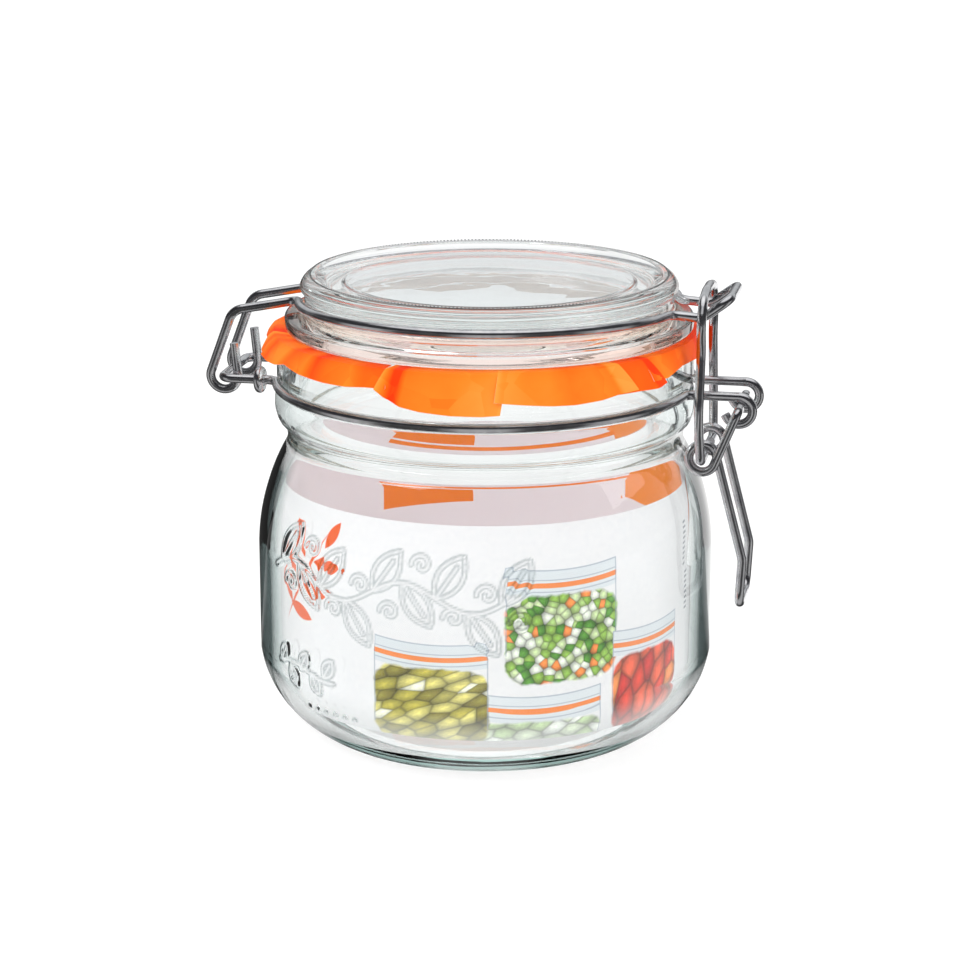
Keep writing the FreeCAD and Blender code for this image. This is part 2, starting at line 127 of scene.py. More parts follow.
def ramp(tree, factor, stops, interpolation="LINEAR"):
    """A Color Ramp from (position, colour) stops."""
    node = add_node(tree, "ShaderNodeValToRGB", {"Fac": factor})
    node.color_ramp.interpolation = interpolation
    elements = node.color_ramp.elements
    elements.remove(elements[1])
    elements[0].position = stops[0][0]
    elements[0].color = (*stops[0][1], 1.0)
    for position, colour in stops[1:]:
        elements.new(position).color = (*colour, 1.0)
    return node.outputs["Color"]


def blend_colours(tree, factor, first, second, mode="MIX"):
    """A Mix node on colours."""
    node = add_node(tree, "ShaderNodeMix", data_type="RGBA", blend_type=mode)
    for number, value in ((0, factor), (6, first), (7, second)):
        if isinstance(value, bpy.types.NodeSocket):
            tree.links.new(value, node.inputs[number])
        else:
            node.inputs[number].default_value = value
    return node.outputs[2]


def grey(tree, value):
    """A grey colour, with one value in all three channels."""
    return add_node(tree, "ShaderNodeCombineColor", {0: value, 1: value, 2: value}).outputs[0]


def new_material(name):
    """An empty material with only its output node."""
    material = bpy.data.materials.new(name)
    material.use_nodes = True
    material.node_tree.nodes.clear()
    output = add_node(material.node_tree, "ShaderNodeOutputMaterial")
    return material, material.node_tree, output


print("node helpers ready")

# %% [markdown]
# ## World
# Glass and bright wire show their surroundings more than themselves. A white room makes clear
# glass vanish, so the surroundings are white behind the glass, while mirror reflections find a
# dark band a little above the horizon. That band draws the black lines along the wire.

# %% World
world = bpy.data.worlds.new("studio")
bpy.context.scene.world = world
world.use_nodes = True
tree = world.node_tree
tree.nodes.clear()
path = add_node(tree, "ShaderNodeLightPath")
place = add_node(tree, "ShaderNodeTexCoord")
split = add_node(tree, "ShaderNodeSeparateXYZ", {0: place.outputs["Generated"]})
height = scaled(tree, split.outputs["Z"], 0.5, 0.5)
mirror_room = ramp(tree, height, [
    (0.0, (0.5, 0.5, 0.5)), (0.50, (0.30, 0.30, 0.31)), (0.53, (0.05, 0.05, 0.055)),
    (0.88, (0.02, 0.02, 0.025)), (0.92, (1.1, 1.1, 1.12)), (1.0, (1.35, 1.35, 1.35)),
])
behind = scaled(tree, split.outputs["Y"], 4.0, -1.6, clamp=True)
above = scaled(tree, split.outputs["Z"], 8.0, -0.6, clamp=True)
mirror_room = blend_colours(tree, times(tree, behind, above), mirror_room, (0.72, 0.74, 0.75, 1.0))
seen_through = ramp(tree, height, [
    (0.0, (0.95, 0.96, 0.96)), (0.5, (1.0, 1.0, 1.0)), (0.75, (0.93, 0.95, 0.95)),
    (1.0, (0.82, 0.85, 0.86)),
])
soft_light = ramp(tree, height, [
    (0.0, (0.7, 0.7, 0.7)), (0.5, (0.90, 0.90, 0.90)), (1.0, (1.10, 1.10, 1.10)),
])
inner_light = blend_colours(tree, 1.0, soft_light, (2.1, 2.1, 2.1, 1.0), "MULTIPLY")
after_paper = calculate(tree, "GREATER_THAN", path.outputs["Diffuse Depth"], 0.5)
seen_through = blend_colours(tree, after_paper, seen_through, inner_light)
room = blend_colours(tree, path.outputs["Is Glossy Ray"], soft_light, mirror_room)
room = blend_colours(tree, path.outputs["Is Transmission Ray"], room, seen_through)
room = blend_colours(tree, path.outputs["Is Camera Ray"], room, (1.0, 1.0, 1.0, 1.0))
background = add_node(tree, "ShaderNodeBackground", {"Color": room, "Strength": 1.0})
add_node(tree, "ShaderNodeOutputWorld", {"Surface": background.outputs[0]})
print("world: white behind the glass, a dark band for mirror reflections")

# %% [markdown]
# ## Lamps and floor
# One big soft lamp from the upper left gives the paper and the wires their shape. The floor is
# white to the eye but keeps a faint shadow, because part of its white is ordinary diffuse paint.
# In mirror reflections it shows dark and light bands, as if cards stood round the jar, since these
# draw the edges of clear glass. Light that has left the paper finds it brighter, because glass
# would otherwise keep the paper inside it grey.


# %% Lamps and floor
def soft_lamp(name, place, size, power):
    """A square area lamp that looks at the middle of the jar."""
    lamp = bpy.data.lights.new(name, "AREA")
    lamp.size = size
    lamp.energy = power
    holder = bpy.data.objects.new(name, lamp)
    bpy.context.scene.collection.objects.link(holder)
    holder.location = place
    towards = Vector((0, 0, 0.06)) - holder.location
    holder.rotation_euler = towards.to_track_quat("-Z", "Y").to_euler()
    holder.visible_glossy = False
    return holder


soft_lamp("key_lamp", (-0.55, -0.55, 0.95), 0.55, 5.5)
soft_lamp("side_lamp", (0.9, 0.1, 0.5), 0.5, 1.6)

bpy.ops.object.select_all(action="DESELECT")
bpy.ops.mesh.primitive_plane_add(size=12.0, location=(0, 0, 0))
floor = bpy.context.object
floor.name = "floor"
material, tree, output = new_material("white_floor")
path = add_node(tree, "ShaderNodeLightPath")
through = path.outputs["Is Transmission Ray"]
glossy = calculate(tree, "SUBTRACT", path.outputs["Is Glossy Ray"], through, clamp=True)
paint = grey(tree, scaled(tree, glossy, -0.30, 0.34))
diffuse = add_node(tree, "ShaderNodeBsdfDiffuse", {"Color": paint})
after_paper = calculate(tree, "GREATER_THAN", path.outputs["Diffuse Depth"], 0.5)
after_paper = times(tree, after_paper, through)
white_glow = scaled(tree, path.outputs["Is Camera Ray"], 0.20, 0.52)
white_glow = scaled(tree, through, 0.06, white_glow)
white_glow = scaled(tree, after_paper, 1.05, white_glow)
place = add_node(tree, "ShaderNodeTexCoord")
split = add_node(tree, "ShaderNodeSeparateXYZ", {0: place.outputs["Object"]})
around = calculate(tree, "ARCTAN2", split.outputs["Y"], split.outputs["X"])
bands = calculate(tree, "SINE", scaled(tree, around, 5.0, 2.4))
bands = scaled(tree, bands, 0.9, 0.42, clamp=True)
dark_card = calculate(tree, "COMPARE", around, math.radians(124), math.radians(25))
white_card = calculate(tree, "COMPARE", around, math.radians(74), math.radians(22))
mirrored_glow = scaled(tree, bands, 0.62, -0.10)
mirrored_glow = scaled(tree, dark_card, -0.7, mirrored_glow)
mirrored_glow = scaled(tree, white_card, 0.85, mirrored_glow)
difference = minus(tree, mirrored_glow, white_glow)
strength = scaled(tree, difference, glossy, white_glow)
strength = calculate(tree, "MAXIMUM", strength, 0.0)
glow = add_node(tree, "ShaderNodeEmission", {"Strength": strength})
both = add_node(tree, "ShaderNodeAddShader", {0: diffuse.outputs[0], 1: glow.outputs[0]})
tree.links.new(both.outputs[0], output.inputs["Surface"])
floor.data.materials.append(material)
print("floor and two lamps")

# %% [markdown]
# ## Turning a profile
# Jar and lid are bodies of revolution. Their half profile is a chain of vertices: a circle is
# opened by taking one edge out, and its vertices are set along the profile, where arcs are broken
# into short runs. Spin then turns the chain round the axis. The front of the jar gets finer steps,
# because its relief needs them.


# %% Profile helper
def outline(corners):
    """Points along (radius, height, step, curve, turn) corners in mm.

    Each corner says how the profile comes to it: the longest step, and for an arc its radius and
    +1 or -1 for a left or right turn.
    """
    points = [corners[0][:2]]
    for corner in corners[1:]:
        start, end = Vector(points[-1]), Vector(corner[:2])
        step = corner[2]
        chord = end - start
        if len(corner) == 3:
            parts = max(1, math.ceil(chord.length / step))
            points += [tuple(start.lerp(end, part / parts)) for part in range(1, parts + 1)]
            continue
        curve, turn = corner[3:]
        left = Vector((-chord.y, chord.x)).normalized()
        rise = math.sqrt(curve ** 2 - (chord.length / 2) ** 2)
        centre = start + chord / 2 + left * turn * rise
        first = math.atan2(start.y - centre.y, start.x - centre.x)
        sweep = turn * 2 * math.asin(chord.length / 2 / curve)
        parts = max(2, math.ceil(abs(sweep) * curve / step))
        for part in range(1, parts + 1):
            angle = first + sweep * part / parts
            points.append((centre.x + curve * math.cos(angle), centre.y + curve * math.sin(angle)))
        points[-1] = tuple(end)
    return points


def get_places(piece):
    """All vertex places of a piece in mm, as an array."""
    places = np.empty(len(piece.data.vertices) * 3)
    piece.data.vertices.foreach_get("co", places)
    return places.reshape(-1, 3) / MM


def set_places(piece, places):
    piece.data.vertices.foreach_set("co", (places * MM).ravel())
    piece.data.update()


def turned_piece(name, points, start_angle, sectors):
    """Spin a profile round the upright axis in (degrees, steps) sectors, and close it."""
    bpy.ops.object.select_all(action="DESELECT")
    bpy.ops.mesh.primitive_circle_add(vertices=len(points), radius=10 * MM)
    piece = bpy.context.object
    piece.name = name
    piece.data.name = name
    bpy.ops.object.mode_set(mode="EDIT")
    bpy.ops.mesh.select_mode(type="EDGE")
    bpy.ops.mesh.select_all(action="DESELECT")
    bpy.ops.object.mode_set(mode="OBJECT")
    for edge in piece.data.edges:
        edge.select = set(edge.vertices) == {0, len(points) - 1}
    bpy.ops.object.mode_set(mode="EDIT")
    bpy.ops.mesh.delete(type="EDGE")
    bpy.ops.object.mode_set(mode="OBJECT")
    ray = (math.cos(start_angle), math.sin(start_angle))
    set_places(piece, np.array([(r * ray[0], r * ray[1], z) for r, z in points]))
    bpy.ops.object.mode_set(mode="EDIT")
    bpy.ops.mesh.select_mode(type="VERT")
    bpy.ops.mesh.select_all(action="SELECT")
    for angle, steps in sectors:
        bpy.ops.mesh.spin(steps=steps, angle=math.radians(angle), center=(0, 0, 0), axis=(0, 0, 1))
    bpy.ops.mesh.select_all(action="SELECT")
    bpy.ops.mesh.remove_doubles(threshold=2e-6)
    bpy.ops.mesh.normals_make_consistent(inside=False)
    bpy.ops.object.mode_set(mode="OBJECT")
    bpy.ops.object.shade_smooth_by_angle(angle=math.radians(38))
    print(name, "has", len(piece.data.vertices), "vertices")
    return piece


def joined(name, pieces):
    """Join pieces into one, with its place in its mesh."""
    bpy.ops.object.select_all(action="DESELECT")
    for piece in pieces:
        piece.select_set(True)
    bpy.context.view_layer.objects.active = pieces[0]
    bpy.ops.object.join()
    whole = bpy.context.object
    whole.name = name
    bpy.ops.object.transform_apply(location=True, rotation=True, scale=True)
    return whole


print("turning helpers ready")

# %% [markdown]
# ## The jar
# The profile goes from the punt under the base up the outside, over the rim and down the inside.
# The wall is 2.8 mm thick, and the neck has a bead and a groove where the steel ring sits.

# %% Jar profile
BODY_RAD = 52.0
jar_profile = outline([
    (0.0, 2.2), (20.0, 2.2, 4), (32.0, 2.2, 1.5), (33.4, 1.5, 0.4, 2.2, -1),
    (34.9, 0.3, 0.4), (35.7, 0.0, 0.3, 1.1, 1), (38.0, 0.0, 0.5),
    (BODY_RAD, 18.4, 0.6, 24.0, 1),
    (BODY_RAD, 44.0, 0.4),
    (45.8, 65.8, 0.4, 50.0, 1),
    (45.0, 69.0, 0.6, 5.0, -1),
    (46.9, 72.6, 0.5, 5.0, -1),
    (47.2, 79.2, 0.6, 8.0, 1),
    (47.2, 79.25, 0.3),
    (47.2, 81.95, 0.25, 1.4, -1),
    (47.2, 91.0, 1.2),
    (46.2, 92.0, 0.25, 1.0, 1),
    (43.6, 92.0, 1.2),
    (42.6, 91.0, 0.25, 1.0, 1),
    (42.2, 69.0, 1.6),
    (49.2, 44.0, 1.2, 47.2, -1),
    (49.2, 18.4, 2.0),
    (42.55, 6.2, 0.9, 21.2, -1),
    (20.0, 6.2, 4), (0.0, 6.2, 10),
])
print("jar profile has", len(jar_profile), "points")

# %% Turn the jar
FRONT_START = math.radians(-40)
FRONT_SECTOR, BACK_SECTOR = (110, 230), (250, 58)
jar = turned_piece("jar_glass_body", jar_profile, FRONT_START, [FRONT_SECTOR, BACK_SECTOR])

# %% [markdown]
# ## Relief on the jar
# Pressed glass carries a raised design on its shoulder. This one is a leafy vine in thin raised
# lines about 1.7 mm wide and a third of a millimetre high. The lines are curves laid on the
# unrolled wall, and each vertex near a line moves outwards by a soft round bump.


# %% Relief helper
def leaf(root_u, root_z, length, width, lean):
    """Outline and midrib of a leaf, as points in mm on the unrolled wall."""
    share = np.linspace(0, 1, 26)
    along = length * share
    across = width * np.sin(np.pi * share) ** 0.8
    lines = []
    for side in (-1, 0, 1):
        stop = 20 if side == 0 else 26
        u = root_u + along * math.cos(lean) - side * across * math.sin(lean)
        z = root_z + along * math.sin(lean) + side * across * math.cos(lean)
        lines.append(np.column_stack([u[:stop], z[:stop]]))
    return np.vstack(lines)


def tendril(root_u, root_z, size):
    """A curl that winds in from the stem."""
    angle = np.linspace(0, 2.0 * math.pi, 60)
    radius = size * (1 - angle / 8.2)
    u = root_u + size - radius * np.cos(angle)
    return np.column_stack([u, root_z + radius * np.sin(angle)])


def stem(first_u, last_u, level, wave, length):
    """The vine's wavy stem."""
    u = np.linspace(first_u, last_u, 400)
    return np.column_stack([u, level + wave * np.sin(2 * math.pi * (u - first_u) / length)])


def wall_radius(level):
    """Radius of the jar's outside at heights on its straight wall and shoulder."""
    table = sorted((z, r) for r, z in jar_profile[:-1] if r > 44.9 and 5 < z < 69)
    heights = np.array([z for z, r in table])
    radii = np.array([r for z, r in table])
    outside = np.array([radii[np.abs(heights - h) < 1.2].max() for h in heights])
    return np.interp(level, heights, outside)


def raise_lines(piece, lines, relief, line_width, levels):
    """Move the jar's outer wall outwards along lines given on the unrolled wall.

    The steepest part of each bump is kept as an attribute, for the painted grey shade on the sides
    of the relief.
    """
    places = get_places(piece)
    turn = np.arctan2(places[:, 1], places[:, 0])
    reach = np.hypot(places[:, 0], places[:, 1])
    offset = (turn - FACING + math.pi) % (2 * math.pi) - math.pi
    wall = (places[:, 2] > levels[0]) & (places[:, 2] < levels[1]) & (reach > BODY_RAD - 6.0)
    outer = wall & (np.abs(offset) < 1.3)
    outer[outer] = reach[outer] > wall_radius(places[outer, 2]) - 0.4
    chosen = np.nonzero(outer)[0]
    u = offset[chosen] * BODY_RAD
    z = places[chosen, 2]
    nearest = np.full(len(chosen), 99.0)
    for point in lines:
        nearest = np.minimum(nearest, np.hypot(u - point[0], z - point[1]))
    bump = np.clip(1 - (nearest / line_width) ** 2, 0, 1) ** 1.5
    places[chosen, :2] *= (1 + relief * bump / reach[chosen])[:, None]
    set_places(piece, places)
    slope = np.zeros(len(places))
    slope[chosen] = np.clip(4 * bump * (1 - bump), 0, 1)
    piece.data.attributes.new("relief_slope_shade", "FLOAT", "POINT").data.foreach_set("value", slope)
    return int((bump > 0).sum())


# %% Raise the vine
FACING = math.radians(-79)
RELIEF, LINE_RAD = 0.33, 0.85
RELIEF_LEVELS = (10.0, 60.0)
VINE_START, VINE_LEVEL, VINE_WAVE, VINE_LENGTH = -57.0, 44.0, 3.0, 31.0
SPRIG_START, SPRIG_LEVEL = -56.0, 22.0
DASH_LEVEL = 11.6
vine = [stem(VINE_START, 6.0, VINE_LEVEL, VINE_WAVE, VINE_LENGTH)]
for number, root in enumerate(np.arange(VINE_START + 3.0, 4.0, 7.2)):
    level = VINE_LEVEL + VINE_WAVE * math.sin(2 * math.pi * (root - VINE_START) / VINE_LENGTH)
    upward = 1 if number % 2 == 0 else -1
    vine.append(leaf(root, level, 11.0, 2.7, upward * math.radians(56)))
    vine.append(tendril(root + 1.6, level - upward * 4.2, 2.4))
sprig = [stem(SPRIG_START, -36.0, SPRIG_LEVEL, 1.0, 24.0)]
for number, root in enumerate(np.arange(SPRIG_START + 1.0, -37.0, 4.0)):
    upward = 1 if number % 2 == 0 else -1
    sprig.append(leaf(root, SPRIG_LEVEL, 5.0, 1.5, upward * math.radians(58)))
run = np.linspace(0, 1, 12)
dashes = [np.column_stack([root + 1.5 * run, DASH_LEVEL + 1.8 * run])
          for root in np.arange(-47.0, -31.0, 2.9)]
moved = raise_lines(jar, np.vstack(vine + sprig + dashes), RELIEF, LINE_RAD, RELIEF_LEVELS)
print("relief moved", moved, "vertices")

# %% [markdown]
# ## The lid
# The lid has a flange over the rim, a waist where the wire ring lies, a round bulge above it and a
# sunk top with a low panel. A plug below centres it in the mouth.

# %% Turn the lid
lid_profile = outline([
    (0.0, 98.0), (20.0, 98.0, 5), (35.6, 98.0, 2), (36.6, 97.2, 0.3, 1.1, -1),
    (37.2, 90.9, 1.2), (38.0, 90.2, 0.25, 0.9, 1), (39.5, 90.2, 0.6), (40.2, 90.9, 0.25, 0.9, 1),
    (40.7, 92.7, 0.5), (41.2, 93.0, 0.2, 0.5, -1),
    (45.2, 93.0, 1.0), (46.1, 93.9, 0.25, 0.9, 1), (46.1, 95.4, 0.5), (45.2, 96.3, 0.25, 0.9, 1),
    (42.5, 97.0, 0.6), (41.6, 98.0, 0.2, 1.1, -1), (41.6, 100.6, 0.5),
    (42.1, 101.5, 0.25, 1.3, -1), (42.6, 102.4, 0.25, 1.4, 1),
    (40.2, 105.0, 0.3, 3.3, 1), (39.3, 105.0, 0.4), (38.6, 104.7, 0.2, 0.9, 1),
    (37.2, 103.5, 0.4), (36.5, 103.2, 0.25, 1.2, -1), (33.4, 103.2, 0.6),
    (32.7, 103.5, 0.2, 1.0, -1), (32.0, 103.7, 0.2, 1.0, 1), (0.0, 103.7, 0.9),
])
LID_SHIFT = np.array([0.9, 0.0, 0.0])
lid = turned_piece("lid_glass_body", lid_profile, 0.0, [(360, 288)])
set_places(lid, get_places(lid) + LID_SHIFT)

# %% [markdown]
# ## Beads round the lid
# A row of tiny raised beads runs round the crown. One bead is a ball with few faces, half sunk in
# the crown and copied round the ring, because hundreds of smooth spheres would only cost time.

# %% Beads
BEADS = 300
BEAD_RAD = 0.22
BEAD_RING, BEAD_LEVEL = 40.2, 105.07
bpy.ops.object.select_all(action="DESELECT")
bpy.ops.mesh.primitive_uv_sphere_add(segments=8, ring_count=6, radius=BEAD_RAD * MM)
bead = bpy.context.object
bpy.ops.object.shade_smooth()
beads = []
for number in range(BEADS):
    angle = 2 * math.pi * number / BEADS
    spot = LID_SHIFT + (BEAD_RING * math.cos(angle), BEAD_RING * math.sin(angle), BEAD_LEVEL)
    copy = bead.copy()
    copy.data = bead.data.copy()
    copy.location = spot * MM
    bpy.context.scene.collection.objects.link(copy)
    beads.append(copy)
bpy.data.objects.remove(bead)
lid_beads = joined("lid_beading", beads)
print("lid beading has", BEADS, "beads,", len(lid_beads.data.polygons), "faces")

# %% [markdown]
# ## Glass
# Clear glass is a Principled shader with full transmission and an index of 1.5. Real jar glass
# holds a little iron, which shows as a cool green only along its walls, so thin absorption fills
# the volume. For camera rays the silhouette gets a painted shade, darkest on the jar, which stands
# in for the light that is led away inside the wall. A Layer Weight node finds that silhouette. A
# slow noise gives the pressed surface its ripple. The relief gets a painted grey shade on the steep
# sides of its lines. The lid gets a painted reflection of the orange paper below it, in bands
# round its flange and waist, and a painted grey shade over its top. The beads are painted nearly
# black, a painted shade for the dark dots that clear glass beads show.


# %% Glass materials
CLEAR = (1.0, 1.0, 1.0)
FLANGE_RAD, OUTSIDE_RAD, TOP_LEVEL = 46 * MM, 39.8 * MM, 102 * MM


def painted_reflection_strength(tree, split):
    """How strongly the painted reflection bands colour the lid: all over its top, and most at its
    two sides.
    """
    side = calculate(tree, "DIVIDE", split.outputs["X"], FLANGE_RAD)
    side = calculate(tree, "POWER", calculate(tree, "ABSOLUTE", side), 2.5)
    side = scaled(tree, side, 0.45, 0.55)
    flat = add_node(tree, "ShaderNodeCombineXYZ", {
        "X": split.outputs["X"], "Y": split.outputs["Y"]})
    reach = add_node(tree, "ShaderNodeVectorMath", {0: flat.outputs[0]}, operation="LENGTH")
    outside = calculate(tree, "GREATER_THAN", reach.outputs["Value"], OUTSIDE_RAD)
    side = times(tree, side, outside)
    top = calculate(tree, "GREATER_THAN", split.outputs["Z"], TOP_LEVEL)
    return calculate(tree, "MAXIMUM", side, top)


def glass_material(name, painted_edge_shade, ripple, density, tall=None, relief=0.0, bands=None):
    """Clear glass with painted light; `tall` is the (low, high) part of the wall where the painted
    shade on the silhouette is darkest.

    `bands` are (height in mm, colour) stops of a painted reflection of the orange paper ring
    below, with a painted grey shade over the top plate.
    """
    material, tree, output = new_material(name)
    place = add_node(tree, "ShaderNodeTexCoord")
    waves = add_node(tree, "ShaderNodeTexNoise", {
        "Vector": place.outputs["Object"], "Scale": 55.0, "Detail": 2.0, "Roughness": 0.4})
    bump = add_node(tree, "ShaderNodeBump", {
        "Height": waves.outputs["Fac"], "Strength": ripple, "Distance": 0.0006})
    facing = add_node(tree, "ShaderNodeLayerWeight", {"Blend": 0.5})
    # Painted shade: the glass darkens towards its silhouette, for camera rays.
    painted_light_tint = ramp(tree, facing.outputs["Facing"], painted_edge_shade)
    seen = add_node(tree, "ShaderNodeLightPath").outputs["Is Camera Ray"]
    strength = seen
    if tall or bands:
        split = add_node(tree, "ShaderNodeSeparateXYZ", {0: place.outputs["Object"]})
        height = split.outputs["Z"]
    if tall:
        soft = 4.0 * MM
        above = scaled(tree, height, 1 / soft, -tall[0] * MM / soft, clamp=True)
        below = scaled(tree, height, -1 / soft, tall[1] * MM / soft, clamp=True)
        strength = times(tree, seen, scaled(tree, times(tree, above, below), 0.65, 0.35))
    painted_light_tint = blend_colours(tree, strength, (*CLEAR, 1.0), painted_light_tint)
    if bands:
        # Painted reflection of the orange paper ring, by height round the flange and waist, and a
        # painted grey shade on the top plate.
        low, high = bands[0][0], bands[-1][0]
        share = scaled(tree, height, 1 / MM / (high - low), -low / (high - low))
        painted_paper_reflection = ramp(tree, share, [((z - low) / (high - low), colour) for z, colour in bands])
        painted_paper_reflection = blend_colours(tree, 1.0, painted_light_tint, painted_paper_reflection, "MULTIPLY")
        strength = times(tree, painted_reflection_strength(tree, split), seen)
        painted_light_tint = blend_colours(tree, strength, painted_light_tint, painted_paper_reflection)
    if relief:
        # Painted shade: a grey is multiplied into the glass where the sides of the relief are
        # steep.
        slope = add_node(tree, "ShaderNodeAttribute", attribute_name="relief_slope_shade")
        strength = times(tree, times(tree, slope.outputs["Fac"], seen), relief)
        painted_light_tint = blend_colours(tree, strength, painted_light_tint, (0.30, 0.35, 0.36, 1.0), "MULTIPLY")
    shader = add_node(tree, "ShaderNodeBsdfPrincipled", {
        "Base Color": painted_light_tint, "Roughness": 0.0, "IOR": 1.5, "Transmission Weight": 1.0,
        "Normal": bump.outputs["Normal"]})
    absorb = add_node(tree, "ShaderNodeVolumeAbsorption", {
        "Color": (0.62, 0.84, 0.80, 1.0), "Density": density})
    tree.links.new(shader.outputs[0], output.inputs["Surface"])
    tree.links.new(absorb.outputs[0], output.inputs["Volume"])
    return material


# Painted shade on the jar's silhouette, nearly black at its edge.
jar_glass = glass_material("jar_glass", [
    (0.0, CLEAR), (0.56, (0.94, 0.965, 0.96)), (0.64, (0.38, 0.46, 0.45)),
    (0.71, (0.012, 0.02, 0.02)), (1.0, (0.003, 0.005, 0.005))], 0.12, 18.0, (14.0, 66.0), 0.9)
# Painted shade on the lid's silhouette, a painted reflection of the orange paper ring in bands
# round the flange and waist, and a painted grey shade on the top plate.
lid_glass = glass_material("lid_glass", [
    (0.0, CLEAR), (0.80, (0.96, 0.98, 0.975)), (0.92, (0.62, 0.68, 0.67)),
    (1.0, (0.15, 0.19, 0.19))], 0.08, 4.0, bands=[
        (92.0, CLEAR), (93.2, (1.0, 0.85, 0.80)), (93.7, (0.96, 0.46, 0.32)),
        (95.2, (0.97, 0.44, 0.30)), (95.7, (1.0, 0.90, 0.85)), (96.3, (1.0, 0.88, 0.80)),
        (96.9, (1.0, 0.62, 0.40)), (97.8, (0.96, 0.42, 0.22)), (98.9, (0.97, 0.66, 0.50)),
        (100.2, CLEAR),
        (103.2, CLEAR), (103.45, (0.84, 0.86, 0.88)), (103.9, (0.84, 0.86, 0.88)),
        (104.3, CLEAR), (106.0, CLEAR)])
# The beads are painted nearly black for camera rays: a painted shade for the dark dots that the
# clear beads show.
bead_glass = glass_material("bead_glass", [
    (0.0, (0.05, 0.055, 0.055)), (0.5, (0.03, 0.035, 0.035)), (1.0, (0.01, 0.01, 0.01))], 0.0, 7.0)
jar.data.materials.append(jar_glass)
lid.data.materials.append(lid_glass)
lid_beads.data.materials.clear()
lid_beads.data.materials.append(bead_glass)
print("three glasses")

# %% [markdown]
# ## Paper
# Uncoated orange paper is matt, with a slightly mottled dye and short fibres in its surface.
# Handling leaves flat facets in it, and Voronoi cells give each a slightly different painted
# shade. The fold_shade attribute adds the painted shade of the folds. The ring is cut from white
# stock, so its cut edge is pale.


# %% Paper materials
def paper_material(name, stops, roughness):
    """Matt paper, whose colour runs through the stops with the painted shade of its folds and
    facets.
    """
    material, tree, output = new_material(name)
    place = add_node(tree, "ShaderNodeTexCoord").outputs["Object"]
    mottle = add_node(tree, "ShaderNodeTexNoise", {
        "Vector": place, "Scale": 90.0, "Detail": 4.0, "Roughness": 0.6})
    fibres = add_node(tree, "ShaderNodeTexNoise", {
        "Vector": place, "Scale": 1800.0, "Detail": 3.0, "Roughness": 0.7})
    # Painted shade: each Voronoi cell is a flat facet of the paper, a little lighter or darker.
    facets = add_node(tree, "ShaderNodeTexVoronoi", {"Vector": place, "Scale": 150.0})
    # Painted shade of the folds, set on each tongue.
    fold = add_node(tree, "ShaderNodeAttribute", attribute_name="fold_shade")
    shade = scaled(tree, mottle.outputs["Fac"], 0.2, -0.1)
    shade = plus(tree, shade, scaled(tree, facets.outputs["Color"], 0.20, -0.10))
    shade = calculate(tree, "ADD", fold.outputs["Fac"], shade, clamp=True)
    bump = add_node(tree, "ShaderNodeBump", {
        "Height": fibres.outputs["Fac"], "Strength": 0.25, "Distance": 0.00006})
    shader = add_node(tree, "ShaderNodeBsdfPrincipled", {
        "Base Color": ramp(tree, shade, stops), "Roughness": roughness, "IOR": 1.2,
        "Normal": bump.outputs["Normal"]})
    tree.links.new(shader.outputs[0], output.inputs["Surface"])
    return material


orange_paper = paper_material("orange_paper", [
    (0.0, (0.92, 0.040, 0.0005)), (0.35, (1.0, 0.13, 0.004)), (0.6, (1.0, 0.22, 0.015)),
    (1.0, (1.0, 0.36, 0.06))], 0.6)
pale_edge = paper_material("pale_cut_edge", [
    (0.0, (0.88, 0.62, 0.48)), (1.0, (0.97, 0.82, 0.70))], 0.8)
print("orange paper and its pale cut edge")
